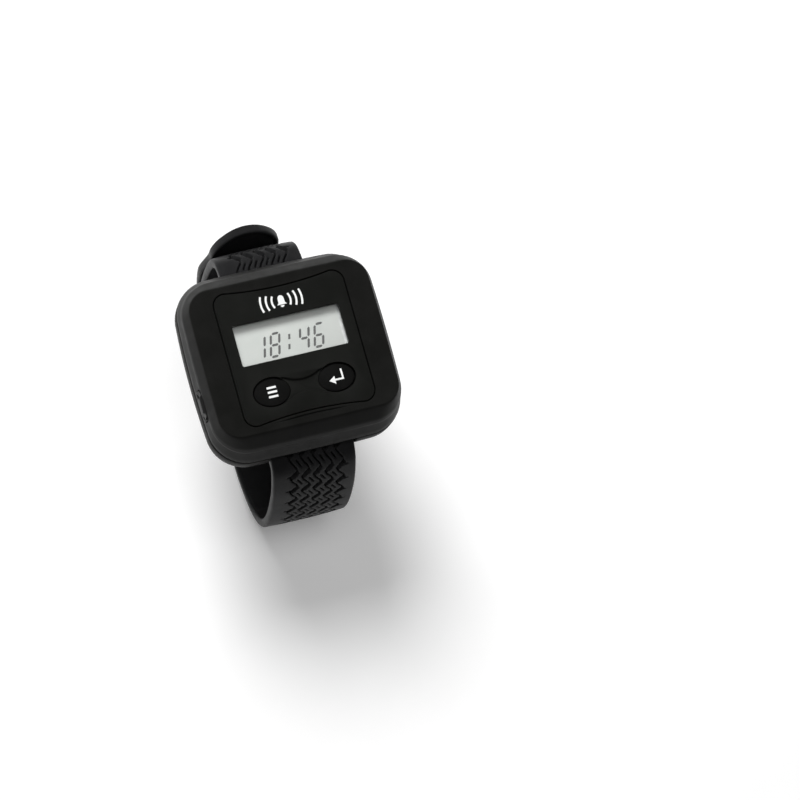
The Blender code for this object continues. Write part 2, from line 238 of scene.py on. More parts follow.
def plain(name, dark, light, rough, size_mm=2.0, bump=0.1, **fixed):
    g = Graph(name)
    cloud = g.noise(size_mm, 4.0)
    tone = g.mix(g.ramp(cloud, 0.3, 0.7, 0, 1), dark, light)
    g.bump(g.noise(size_mm * 0.3, 3.0), bump, 0.06)
    return g.done(tone, g.ramp(cloud, 0.2, 0.8, rough - 0.05, rough + 0.06), **fixed)


def circuit(name):
    """Solder mask with copper tracks under it."""
    g = Graph(name)
    cloud = g.noise(9.0, 3.0)
    tone = g.mix(g.ramp(cloud, 0.3, 0.7, 0, 1), (0.008, 0.07, 0.03), (0.012, 0.1, 0.045))
    tracks = g.noise(1.6, 0.0, 0.5, (1.0, 0.12, 1.0))
    tone = g.mix(g.ramp(tracks, 0.55, 0.57, 0, 0.8), tone, (0.02, 0.2, 0.08))
    g.bump(tracks, 0.2, 0.05)
    return g.done(tone, g.ramp(cloud, 0.2, 0.8, 0.3, 0.42))


MAT = {
    "case": moulded("case_plastic", (0.0075, 0.0076, 0.007), (0.011, 0.011, 0.0104), 0.46, 0.16, 0.09,
                    Specular_IOR_Level=0.09),
    "panel": moulded("panel_plastic", (0.0072, 0.0075, 0.0068), (0.0098, 0.0101, 0.0093), 0.44, 0.13, 0.08,
                     Specular_IOR_Level=0.3),
    "button": moulded("button_rubber", (0.005, 0.005, 0.0048), (0.007, 0.007, 0.0068), 0.48, 0.14, 0.08,
                      Specular_IOR_Level=0.35),
    "strap": moulded("strap_rubber", (0.012, 0.012, 0.0124), (0.018, 0.018, 0.0188), 0.42, 0.2, 0.1,
                     Specular_IOR_Level=0.1),
    "seal": moulded("seal_rubber", (0.01, 0.01, 0.01), (0.014, 0.014, 0.014), 0.6, 0.15, 0.3),
    "stud": moulded("stud_plastic", (0.012, 0.012, 0.012), (0.016, 0.016, 0.016), 0.4, 0.2, 0.2),
    "ink": plain("white_ink", (0.78, 0.79, 0.78), (0.86, 0.87, 0.86), 0.55, 0.8, 0.1),
    "lcd": plain("lcd_face", (0.52, 0.545, 0.52), (0.56, 0.58, 0.555), 0.35, 6.0, 0.02),
    "lcd_edge": plain("lcd_glass_edge", (0.55, 0.57, 0.56), (0.75, 0.77, 0.76), 0.2, 1.5, 0.05),
    "segment": plain("lcd_segments", (0.03, 0.03, 0.03), (0.05, 0.05, 0.048), 0.4, 1.0, 0.05),
    "steel": metal("steel", (0.5, 0.5, 0.5), (0.68, 0.68, 0.68), 0.3),
    "weight": metal("sintered_tungsten", (0.3, 0.3, 0.3), (0.4, 0.4, 0.41), 0.42),
    "foil": metal("battery_foil", (0.5, 0.51, 0.53), (0.62, 0.63, 0.65), 0.36, (1, 0.2, 1)),
    "copper": metal("copper_winding", (0.45, 0.16, 0.06), (0.75, 0.36, 0.18), 0.32, (8, 0.2, 0.2)),
    "board": circuit("circuit_board"),
    "chip": plain("chip_epoxy", (0.018, 0.018, 0.019), (0.03, 0.03, 0.031), 0.5, 0.8, 0.2),
    "foam": plain("foam_pad", (0.02, 0.02, 0.022), (0.05, 0.05, 0.055), 0.85, 0.5, 0.8),
    "guide": plain("light_guide", (0.8, 0.82, 0.79), (0.88, 0.9, 0.87), 0.3, 1.2, 0.1),
    "floor": plain("floor", (0.88, 0.88, 0.88), (0.92, 0.92, 0.92), 0.7, 40.0, 0.02,
                   Emission_Color=(1, 1, 1, 1), Emission_Strength=0.15),
}


def lens_material():
    """Clear cover: nearly all see-through, with a polished surface."""
    g = Graph("clear_lens")
    haze = g.noise(5.0, 3.0)
    return g.done(None, g.ramp(haze, 0.2, 0.8, 0.04, 0.09), Base_Color=(0.9, 0.92, 0.91, 1), Alpha=0.06)


MAT["lens"] = lens_material()


# ---- mesh helpers ----------------------------------------------------------
def finish_mesh(name, bm, mat, angle=35):
    """bm in mm becomes a smooth-shaded object in metres."""
    bmesh.ops.scale(bm, vec=(MM, MM, MM), verts=bm.verts)
    bmesh.ops.recalc_face_normals(bm, faces=bm.faces)
    mesh = bpy.data.meshes.new(name)
    bm.to_mesh(mesh)
    bm.free()
    obj = bpy.data.objects.new(name, mesh)
    SCENE.collection.objects.link(obj)
    if mat:
        mesh.materials.append(MAT[mat])
    shade(obj, angle)
    return obj


def shade(obj, angle=35):
    mesh = obj.data
    mesh.polygons.foreach_set("use_smooth", [True] * len(mesh.polygons))
    mesh.set_sharp_from_angle(angle=math.radians(angle))


def skin(rings, cap=True, loop=False):
    """bmesh through rings of equal point counts; loop joins the last ring to the first."""
    bm = bmesh.new()
    made = [[bm.verts.new(p) for p in ring] for ring in rings]
    n = len(made[0])
    pairs = list(zip(made, made[1:]))
    if loop:
        pairs.append((made[-1], made[0]))
    for low, high in pairs:
        for i in range(n):
            j = (i + 1) % n
            bm.faces.new((low[i], low[j], high[j], high[i]))
    if cap and not loop:
        bm.faces.new(made[0][::-1])
        bm.faces.new(made[-1])
    return bm


def outline(w, l, r, bow_x=0.0, bow_y=0.0, corner=12, edge=14, cx=0.0, cy=0.0):
    """Rounded rectangle, counter-clockwise; a bow pushes the middle of a side outwards."""
    pts = []
    corners = ((1, 1, 0), (-1, 1, 90), (-1, -1, 180), (1, -1, 270))
    for k, (sx, sy, start) in enumerate(corners):
        for i in range(corner + 1):
            a = math.radians(start + 90.0 * i / corner)
            pts.append((sx * (w / 2 - r) + r * math.cos(a), sy * (l / 2 - r) + r * math.sin(a)))
        nx, ny, _ = corners[(k + 1) % 4]
        along_x = k % 2 == 0
        for i in range(1, edge):
            t = -1 + 2 * i / edge
            swell = 1 - t * t
            if along_x:
                pts.append((-sx * t * (w / 2 - r), sy * (l / 2 + bow_y * swell)))
            else:
                pts.append((sx * (w / 2 + bow_x * swell), -sy * t * (l / 2 - r)))
    return np.array(pts) + (cx, cy)


def ring(pts, z):
    return [(x, y, z) for x, y in pts]


def oval(rx, ry, seg=64, cx=0.0, cy=0.0):
    a = np.linspace(0, 2 * math.pi, seg, endpoint=False)
    return np.stack([cx + rx * np.cos(a), cy + ry * np.sin(a)], 1)


def turned(profile, axis, at, seg=40):
    """Body of revolution: profile of (radius, height) along an axis through `at`."""
    rings = []
    for r, h in profile:
        flat = oval(r, r, seg)
        if axis == "X":
            rings.append([(at[0] + h, at[1] + a, at[2] + b) for a, b in flat])
        elif axis == "Y":
            rings.append([(at[0] + a, at[1] + h, at[2] + b) for a, b in flat])
        else:
            rings.append([(at[0] + a, at[1] + b, at[2] + h) for a, b in flat])
    return skin(rings)


def prism(pts, z0, z1):
    return skin([ring(pts, z0), ring(pts, z1)])


def prism_x(pts, x0, x1):
    """pts are (y, z)."""
    return skin([[(x, a, b) for a, b in pts] for x in (x0, x1)])


def prism_y(pts, y0, y1):
    """pts are (x, z)."""
    return skin([[(a, y, b) for a, b in pts] for y in (y0, y1)])


def evaluated(obj):
    """Applies the object's modifiers to its mesh."""
    deps = bpy.context.evaluated_depsgraph_get()
    done = bpy.data.meshes.new_from_object(obj.evaluated_get(deps))
    obj.modifiers.clear()
    old = obj.data
    obj.data = done
    bpy.data.meshes.remove(old)


def cut(obj, *tools, how="DIFFERENCE"):
    """Boolean with throw-away cutters."""
    for bm in tools:
        tool = finish_mesh("cutter", bm, None)
        mod = obj.modifiers.new("cut", "BOOLEAN")
        mod.operation = how
        mod.solver = "EXACT"
        mod.object = tool
        evaluated(obj)
        bpy.data.objects.remove(tool, do_unlink=True)


def soften(obj, width_mm, segments=2, angle=40):
    """Small moulded radius on the sharp edges."""
    mod = obj.modifiers.new("soften", "BEVEL")
    mod.width = width_mm * MM
    mod.segments = segments
    mod.limit_method = "ANGLE"
    mod.angle_limit = math.radians(angle)
    mod.use_clamp_overlap = True
    mod.miter_outer = "MITER_ARC"
    evaluated(obj)
    shade(obj, 40)


def place(obj, body, slot, *nodes):
    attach(obj, body)
    if nodes:
        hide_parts(*nodes)
    return obj


def smooth(t):
    """Eased step from 0 to 1."""
    t = np.clip(t, 0.0, 1.0)
    return t * t * (3 - 2 * t)


# ---- case ------------------------------------------------------------------
PANEL_GAP = 0.25
SEAT_Z = 15.2            # the ledge under the face panel
MOUTH = (31.2, 31.6, 2.4)                # opening under the panel: width, length, corner radius
CAVITY = (47.0, 36.2, 6.0)
CAVITY_TOP = (42.2, 33.8, 5.6)
FLOOR_RIM = (45.4, 42.8, 7.4)            # flat of the case back
# share of the way from the top's edge to the slope's foot, and how far down
SLOPE_PROFILE = ((0.0, 0.02), (0.06, 0.1), (0.13, 0.3), (0.22, 0.64), (0.36, 1.2), (0.52, 1.86),
                 (0.68, 2.52), (0.8, 3.02), (0.89, 3.38), (0.96, 3.72), (1.0, CASE_H - SLOPE_Z))
# height and swell of the flared wall, with a faint step just under the slope
WALL_PROFILE = ((12.2, 0.0), (11.8, 0.0), (11.45, 0.0), (11.35, -0.05), (11.2, -0.06), (10.0, -0.03),
                (8.6, -0.01), (PART_Z + 0.4, 0.0))
# radius and height of a case screw: domed head, shank and point
SCREW_PROFILE = ((0.01, 0.42), (1.1, 0.36), (1.5, 0.42), (1.68, 0.58), (1.7, 0.8), (1.7, 1.5),
                 (0.8, 1.62), (0.8, 11.2), (0.45, 11.6), (0.01, 11.6))
SCREW_HEAD_HOLE = 2.05
SCREW_SHANK_HOLE = 1.15
BOSS_R = 2.9


def panel_outline(grow=0.0):
    return outline(PANEL_W + 2 * grow, PANEL_L + 2 * grow, PANEL_R + grow, 0.0, -PANEL_WAIST)


def case_outline(inset=0.0):
    """Case side walls, gently bowed outwards."""
    return outline(CASE_W - 2 * inset, CASE_L - 2 * inset, CASE_R - inset, 0.5, 0.2)


def crescent(x, y):
    """Shallow step under the panel's lower edge."""
    upper = -17.55 + PANEL_WAIST * (1 - (x / 14.0) ** 2)
    lower = -17.45 - 0.15 * (1 - (x / 10.5) ** 2)
    ends = smooth((10.5 - np.abs(x)) / 5.0)
    inside = smooth((upper - 0.35 - y) / 0.25) * smooth((y - lower) / 0.12)
    return -0.32 * inside * ends


def upper_case():
    seat = panel_outline(PANEL_GAP)
    mouth = outline(*MOUTH)
    top = outline(TOP_W, TOP_L, TOP_R, 0.1, 0.05)
    foot = outline(SLOPE_W, SLOPE_L, SLOPE_R, 0.2, 0.1)
    rings = [ring(mouth, SEAT_Z - 0.9), ring(mouth, SEAT_Z), ring(seat, SEAT_Z), ring(seat, CASE_H - 0.22)]
    for i in range(1, 5):
        a = math.radians(90 * i / 4)
        lip = panel_outline(PANEL_GAP + 0.2 * (1 - math.cos(a)))
        rings.append(ring(lip, CASE_H - 0.2 + 0.2 * math.sin(a)))
    start = panel_outline(PANEL_GAP + 0.2)
    steps = 34
    for i in range(1, steps):
        t = i / steps
        flat = start + (top - start) * t
        z = CASE_H + crescent(flat[:, 0], flat[:, 1])
        rings.append([(x, y, zz) for (x, y), zz in zip(flat, z)])
    for t, drop in SLOPE_PROFILE:
        rings.append(ring(top + (foot - top) * t, CASE_H - drop))
    for z, swell in WALL_PROFILE:
        t = (SLOPE_Z - z) / (SLOPE_Z - PART_Z)
        wall = foot + (case_outline(0.0) - foot) * t
        rings.append(ring(wall * (1 + swell / (CASE_W / 2)), z))
    rings.append(ring(case_outline(0.15), PART_Z + 0.12))
    rings.append(ring(case_outline(0.7), PART_Z))
    cavity = outline(*CAVITY)
    rings.append(ring(cavity, PART_Z))
    rings.append(ring(cavity, 11.6))
    rings.append(ring(outline(*CAVITY_TOP), 13.9))
    obj = finish_mesh("upper_case", skin(rings, loop=True), "case", 50)
    port = outline(PORT_W, PORT_H, 1.4, cx=PORT_Y, cy=PORT_Z)
    cut(obj, prism_x(port, -27.0, -22.0))
    shade(obj, 42)
    return place(obj, "case", "black_plastic", "front_shell")


def lower_case():
    rings = [ring(outline(*FLOOR_RIM), 0.0), ring(outline(46.0, 43.4, 7.7), 0.06)]
    for i in range(1, 9):
        a = math.radians(90 * i / 8)
        inset = 2.1 * (1 - math.sin(a))
        rings.append(ring(case_outline(inset + 0.05), 0.06 + 3.2 * (1 - math.cos(a))))
    rings.append(ring(case_outline(0.02), PART_Z - 0.85))
    rings.append(ring(case_outline(0.18), PART_Z - 0.55))
    rings.append(ring(case_outline(0.7), PART_Z - 0.3))
    obj = finish_mesh("lower_case", skin(rings), "case")
    tools = []
    for sy in (-1, 1):
        far = 30.0
        box = outline(NOTCH_W, far - NOTCH_Y, 0.5, corner=4, edge=2, cy=sy * (NOTCH_Y + far) / 2)
        tools.append(prism(box, -1.0, PART_Z + 1))
        for sx in (-1, 1):
            side = sx * NOTCH_W / 2
            tools.append(turned([(BAR_R, -1.7), (BAR_R, 1.7)], "X", (side, sy * BAR_Y, BAR_Z), 20))
    tools.append(prism(outline(43.0, 34.4, 5.0, corner=6, edge=2), 1.5, PART_Z + 1))
    cut(obj, *tools)
    for sx in (-1, 1):
        for sy in (-1, 1):
            at = (sx * BOSS_X, sy * BOSS_Y, 0.0)
            cut(obj, turned([(BOSS_R, 0.8), (BOSS_R, PART_Z - 0.3)], "Z", at, 32), how="UNION")
            hole = [(SCREW_HEAD_HOLE, -1.0), (SCREW_HEAD_HOLE, 1.9),
                    (SCREW_SHANK_HOLE, 1.95), (SCREW_SHANK_HOLE, PART_Z + 1)]
            cut(obj, turned(hole, "Z", at, 32))
    soften(obj, 0.16)
    return place(obj, "case", "black_plastic", "rear_shell")


def case_screws():
    for k in range(4):
        node = "case_screw_%d" % (k + 1)
        low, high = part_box(node)
        cx = (low.x + high.x) / 2 / MM
        cy = (low.y + high.y) / 2 / MM
        obj = finish_mesh("screw_%d" % (k + 1), turned(SCREW_PROFILE, "Z", (cx, cy, 0.0), 32), "steel")
        for turn in (20, 110):
            arm = outline(2.0, 0.46, 0.2, corner=3, edge=2)
            a = math.radians(turn + 17 * k)
            spin = np.array([[math.cos(a), math.sin(a)], [-math.sin(a), math.cos(a)]])
            cut(obj, prism(arm @ spin + (cx, cy), 0.0, 1.05))
        shade(obj, 30)
        place(obj, "case", "bright_steel", node)


# ---- face ------------------------------------------------------------------
INK_T = 0.05             # thickness of a printed mark


def peanut(grow=0.0, seg=72):
    """Outline round both buttons with a narrow waist between them."""
    rx = BUTTON_RX + WELL_END
    ry = BUTTON_RY + WELL_END
    reach = BUTTON_X + rx
    x = -reach * np.cos(np.linspace(0, math.pi, seg))
    gone = np.clip((np.abs(x) - BUTTON_X) / rx, -1, 1)
    ends = ry * np.sqrt(np.maximum(1 - gone * gone, 0))
    near = smooth((7.2 - np.abs(x)) / 3.2)
    waist = (WELL_WAIST + grow + 0.062 * x * x) * near
    h = (ends ** 6 + waist ** 6) ** (1 / 6)
    h[0] = h[-1] = 0
    low = [(a, BUTTON_Y - b) for a, b in zip(x, h)]
    high = [(a, BUTTON_Y + b) for a, b in zip(x[::-1], h[::-1])]
    return np.array(low + high[1:-1])


def button_hole(side, seg=72):
    """Wide gap on the outer side, a hairline towards the waist."""
    a = np.linspace(0, 2 * math.pi, seg, endpoint=False)
    turn = np.degrees(np.arccos(np.clip(np.cos(a) * side, -1, 1)))
    gap = BUTTON_GAP - 0.27 * smooth((turn - 105) / 40)
    x = side * BUTTON_X + (BUTTON_RX + gap) * np.cos(a)
    y = BUTTON_Y + (BUTTON_RY + gap) * np.sin(a)
    return np.stack([x, y], 1)


def face_plate():
    z1 = CASE_H - 0.02
    rings = [ring(panel_outline(-0.05), z1 - 0.95), ring(panel_outline(0.0), z1 - 0.9)]
    for i in range(0, 5):
        a = math.radians(90 * i / 4)
        rings.append(ring(panel_outline(-0.16 * (1 - math.cos(a))), z1 - 0.16 + 0.16 * math.sin(a)))
    obj = finish_mesh("face_plate", skin(rings), "panel")
    window = outline(WINDOW_W, WINDOW_L, 0.5, corner=6, edge=4, cy=WINDOW_Y)
    wide = outline(WINDOW_W + 0.3, WINDOW_L + 0.3, 0.65, corner=6, edge=4, cy=WINDOW_Y)
    cut(obj, skin([ring(window, 14.0), ring(window, z1 - 0.15), ring(wide, z1 + 0.01), ring(wide, 18.0)]))
    well = [ring(peanut(0.0), POCKET_Z)]
    for i in range(1, 9):
        t = i / 8
        well.append(ring(peanut(0.6 * t), POCKET_Z + (z1 + 0.01 - POCKET_Z) * smooth(t)))
    well.append(ring(peanut(0.65), 18.0))
    cut(obj, skin(well))
    for side in (-1, 1):
        cut(obj, prism(button_hole(side), 14.0, 17.0))
    shade(obj, 32)
    return place(obj, "case", "panel_plastic", "face_panel")


def dome(x, y, side):
    """Height of a button's top."""
    u = (x - side * BUTTON_X) / BUTTON_RX
    v = (y - BUTTON_Y) / BUTTON_RY
    return 16.0 + 0.42 * (1 - np.clip(u * u + v * v, 0, 1))


def button(name, side):
    rx, ry = BUTTON_RX, BUTTON_RY
    cx, cy = side * BUTTON_X, BUTTON_Y
    rings = [ring(oval(1.3, 1.3, 72, cx, cy), 12.1), ring(oval(1.3, 1.3, 72, cx, cy), 14.05)]
    for grow, z in ((0.85, 14.1), (0.9, 14.2), (0.9, 14.7), (0.85, 14.8), (0.02, 14.85), (0.0, 15.75)):
        rings.append(ring(oval(rx + grow, ry + grow, 72, cx, cy), z))
    for i in range(1, 5):
        a = math.radians(90 * i / 4)
        back = 0.26 * (1 - math.cos(a))
        rings.append(ring(oval(rx - back, ry - back, 72, cx, cy), 15.77 + 0.26 * math.sin(a)))
    for t in (0.88, 0.8, 0.7, 0.6, 0.5, 0.4, 0.3, 0.2, 0.1, 0.02):
        flat = oval(rx * t, ry * t, 72, cx, cy)
        rings.append(ring(flat, 16.0 + 0.42 * (1 - t * t)))
    obj = finish_mesh(name + "_cap", skin(rings), "button", 50)
    return place(obj, name, "panel_plastic", name)


def flat_shape(bm, pts, z0, z1, surface=None):
    """Adds a thin printed or laid shape to bm."""
    pts = [tuple(p) for p in pts]
    low = []
    high = []
    for x, y in pts:
        base = surface(x, y) if surface else 0.0
        low.append(bm.verts.new((x, y, base + z0)))
        high.append(bm.verts.new((x, y, base + z1)))
    n = len(pts)
    for i in range(n):
        j = (i + 1) % n
        bm.faces.new((low[i], low[j], high[j], high[i]))
    bm.faces.new(low[::-1])
    bm.faces.new(high)


def arc_band(cx, cy, r, width, start, end, seg=14):
    a = np.radians(np.linspace(start, end, seg))
    outer = [(cx + (r + width / 2) * math.cos(t), cy + (r + width / 2) * math.sin(t)) for t in a]
    inner = [(cx + (r - width / 2) * math.cos(t), cy + (r - width / 2) * math.sin(t)) for t in a[::-1]]
    return outer + inner


def signal_mark():
    """Plain bell between radio waves, printed in white above the window."""
    bm = bmesh.new()
    cy = MARK_Y
    z = CASE_H - 0.04
    for side in (-1, 1):
        for k in range(3):
            r = 3.0 + 1.45 * k
            half = 30 - 5 * k
            mid = 0 if side > 0 else 180
            pts = arc_band(-0.6 * side, cy, r, 0.5, mid - half, mid + half)
            flat_shape(bm, pts, z, z + INK_T)
    bell = []
    for t in np.linspace(0, 180, 13):
        a = math.radians(t)
        bell.append((0.78 * math.cos(a), cy + 0.55 + 0.85 * math.sin(a)))
    bell += [(-0.85, cy - 0.55), (-1.25, cy - 1.0), (1.25, cy - 1.0), (0.85, cy - 0.55)]
    flat_shape(bm, bell, z, z + INK_T)
    flat_shape(bm, arc_band(0.0, cy - 1.2, 0.25, 0.5, 180, 360, 9), z, z + INK_T)
    obj = finish_mesh("signal_mark", bm, "ink")
    return place(obj, "case", "panel_plastic")


def laid_patch(bm, corners, side, cols=8, rows=4):
    """Thin ink patch between four corners, following a button's dome."""
    a, b, c, d = (np.array(p, float) for p in corners)
    grid = []
    for z in (-0.03, 0.03):
        sheet = []
        for j in range(rows + 1):
            v = j / rows
            line = []
            for i in range(cols + 1):
                u = i / cols
                x, y = (a * (1 - u) + b * u) * (1 - v) + (d * (1 - u) + c * u) * v
                line.append(bm.verts.new((x, y, dome(x, y, side) + z)))
            sheet.append(line)
        grid.append(sheet)
    low, high = grid
    for j in range(rows):
        for i in range(cols):
            bm.faces.new((high[j][i], high[j][i + 1], high[j + 1][i + 1], high[j + 1][i]))
            bm.faces.new((low[j + 1][i], low[j + 1][i + 1], low[j][i + 1], low[j][i]))
    for i in range(cols):
        bm.faces.new((low[0][i], low[0][i + 1], high[0][i + 1], high[0][i]))
        bm.faces.new((high[rows][i], high[rows][i + 1], low[rows][i + 1], low[rows][i]))
    for j in range(rows):
        bm.faces.new((low[j][cols], low[j + 1][cols], high[j + 1][cols], high[j][cols]))
        bm.faces.new((high[j][0], high[j + 1][0], low[j + 1][0], low[j][0]))


def box_corners(x0, y0, x1, y1):
    return ((x0, y0), (x1, y0), (x1, y1), (x0, y1))


def mode_mark():
    """Three plain bars, the menu sign."""
    bm = bmesh.new()
    for k in (-1, 0, 1):
        y = BUTTON_Y + 1.15 * k
        laid_patch(bm, box_corners(-BUTTON_X - 1.2, y - 0.27, -BUTTON_X + 1.2, y + 0.27), -1)
    return place(finish_mesh("mode_mark", bm, "ink"), "mode_button", "panel_plastic")


def enter_mark():
    """Return arrow: a stem down, a stem left and a head."""
    bm = bmesh.new()
    cx, cy = BUTTON_X, BUTTON_Y
    laid_patch(bm, box_corners(cx + 1.3, cy - 0.4, cx + 1.75, cy + 1.9), 1, 3, 10)
    laid_patch(bm, box_corners(cx - 0.55, cy - 0.85, cx + 1.75, cy - 0.4), 1, 10, 3)
    tip = (cx - 2.0, cy - 0.62)
    laid_patch(bm, (tip, (cx - 0.5, cy - 1.65), (cx - 0.5, cy + 0.4), (tip[0], tip[1] + 0.02)), 1, 8, 6)
    return place(finish_mesh("enter_mark", bm, "ink"), "enter_button", "panel_plastic")


SEGMENTS = {"1": "bc", "4": "fgbc", "6": "afgecd", "8": "abcdefg"}
DIGIT_W = 2.2
DIGIT_L = 5.7
STROKE = 0.6
SLANT = 0.26


def digit_strokes(char, cx, cy):
    """Mitred seven-segment strokes."""
    w, h, gap = DIGIT_W / 2, DIGIT_L / 2, 0.2
    places = {"a": ((-w, h), (w, h)), "g": ((-w, 0), (w, 0)), "d": ((-w, -h), (w, -h)),
              "f": ((-w, 0), (-w, h)), "b": ((w, 0), (w, h)),
              "e": ((-w, -h), (-w, 0)), "c": ((w, -h), (w, 0))}
    for key in SEGMENTS[char]:
        (x0, y0), (x1, y1) = places[key]
        dx, dy = x1 - x0, y1 - y0
        size = math.hypot(dx, dy)
        dx, dy = dx / size, dy / size
        nx, ny = -dy, dx
        a, b, s = gap, size - gap, STROKE / 2
        pts = []
        for along, side in ((a, 0), (a + s, -1), (b - s, -1), (b, 0), (b - s, 1), (a + s, 1)):
            x = x0 + dx * along + nx * side * s
            y = y0 + dy * along + ny * side * s
            pts.append((cx + x + SLANT * y, cy + y))
        yield pts


def display():
    """Glass cell, pale polariser and the segments."""
    bm = skin([ring(outline(29.8, 15.0, 0.3, cy=LCD_Y), 12.6),
               ring(outline(30.2, 15.4, 0.4, cy=LCD_Y), 12.8),
               ring(outline(30.2, 15.4, 0.4, cy=LCD_Y), LCD_Z - 0.35),
               ring(outline(29.9, 15.1, 0.4, cy=LCD_Y), LCD_Z - 0.2)])
    cell = finish_mesh("display_cell", bm, "lcd_edge")
    place(cell, "case", "lcd_glass", "lcd_module")
    face = outline(27.6, 12.2, 0.2, corner=3, edge=4, cx=-0.6, cy=WINDOW_Y + 0.3)
    edge = outline(27.8, 12.4, 0.3, corner=3, edge=4, cx=-0.6, cy=WINDOW_Y + 0.3)
    plate = finish_mesh("display_polariser", skin([ring(edge, LCD_Z - 0.22), ring(edge, LCD_Z - 0.06),
                                                   ring(face, LCD_Z)]), "lcd")
    place(plate, "case", "lcd_glass")
    bm = bmesh.new()
    base = WINDOW_Y - 1.1
    for char, x in (("1", -7.8), ("8", -4.0), ("4", 3.6), ("6", 7.4)):
        for pts in digit_strokes(char, x, base):
            flat_shape(bm, pts, LCD_Z - 0.02, LCD_Z + 0.03)
    for dy in (-1.25, 1.25):
        pts = [(-0.3 + x + SLANT * (dy + y), base + dy + y) for x, y in
               ((-0.28, -0.65), (0.28, -0.65), (0.28, 0.65), (-0.28, 0.65))]
        flat_shape(bm, pts, LCD_Z - 0.02, LCD_Z + 0.03)
    digits = finish_mesh("display_digits", bm, "segment")
    place(digits, "case", "lcd_glass")
    wide = outline(30.2, 13.0, 0.9, corner=6, edge=4, cy=WINDOW_Y)
    slim = outline(29.9, 12.7, 0.75, corner=6, edge=4, cy=WINDOW_Y)
    low, high = LENS_Z
    rings = [ring(slim, low), ring(wide, low + 0.12), ring(wide, high - 0.12), ring(slim, high)]
    lens = finish_mesh("window_lens", skin(rings), "lens")
    place(lens, "case", "clear_lens", "display_window")


def port_cover():
    """Rubber plug, flush with the wall, with a nail notch at each end."""
    w, h = PORT_W - 0.6, PORT_H - 0.6
    x0 = PLUG_FACE
    rings = []
    for less, x in ((0.9, 0.0), (0.3, 0.08), (0.0, 0.35), (0.0, 2.05), (0.6, 2.1)):
        a, b = w - less, h - less
        flat = outline(a, b, min(1.1, b / 2 - 0.02), corner=8, edge=6, cx=PORT_Y, cy=PORT_Z)
        rings.append([(x0 + x, y, z) for y, z in flat])
    obj = finish_mesh("port_cover", skin(rings), "seal", 40)
    for end in (-1, 1):
        nail = turned([(0.9, -3.0), (0.9, 3.0)], "Z", (x0 - 0.35, PORT_Y + end * w * 0.36, PORT_Z), 24)
        cut(obj, nail)
    shade(obj, 35)
    return place(obj, "port_plug", "seal_rubber", "port_plug")


# ---- strap -----------------------------------------------------------------
TREAD_STEP = 5.4         # zigzag period along the strap
TREAD_PITCH = 3.05       # between grooves
TREAD_SWING = 0.88
TREAD_DEPTH = 1.05
TAIL_HALF = 9.1          # the tail narrows a little before its round end
TREAD_SHIFT = 0.6        # the pattern sits a little off the middle
FINE = 0.21


def catmull(points, per=24):
    """Smooth curve through given points."""
    p = np.array(points, float)
    p = np.vstack([2 * p[0] - p[1], p, 2 * p[-1] - p[-2]])
    out = []
    for i in range(1, len(p) - 2):
        for k in range(per):
            t = k / per
            a = 2 * p[i]
            b = (p[i + 1] - p[i - 1]) * t
            c = (2 * p[i - 1] - 5 * p[i] + 4 * p[i + 1] - p[i + 2]) * t * t
            d = (3 * p[i] - p[i - 1] - 3 * p[i + 1] + p[i + 2]) * t ** 3
            out.append((a + b + c + d) / 2)
    out.append(p[-2])
    return np.array(out)


class Route:
    """Arc-length lookup along a strap's centre line; `out` is +1 or -1 for the tread side."""

    def __init__(self, points, out):
        self.pts = catmull(points)
        for _ in range(6):
            self.pts[1:-1] = (self.pts[:-2] + 2 * self.pts[1:-1] + self.pts[2:]) / 4
        step = np.linalg.norm(np.diff(self.pts, axis=0), axis=1)
        self.s = np.concatenate([[0], np.cumsum(step)])
        self.length = self.s[-1]
        self.out = out

    def at(self, s):
        y = np.interp(s, self.s, self.pts[:, 0])
        z = np.interp(s, self.s, self.pts[:, 1])
        inner = np.clip(s, 0.4, self.length - 0.4)
        before = np.array([np.interp(inner - 0.4, self.s, self.pts[:, k]) for k in (0, 1)])
        after = np.array([np.interp(inner + 0.4, self.s, self.pts[:, k]) for k in (0, 1)])
        t = after - before
        t /= np.linalg.norm(t, axis=0)
        beyond = np.minimum(s, 0) + np.maximum(s - self.length, 0)
        y = y + t[0] * beyond
        z = z + t[1] * beyond
        return y, z, -t[1] * self.out, t[0] * self.out


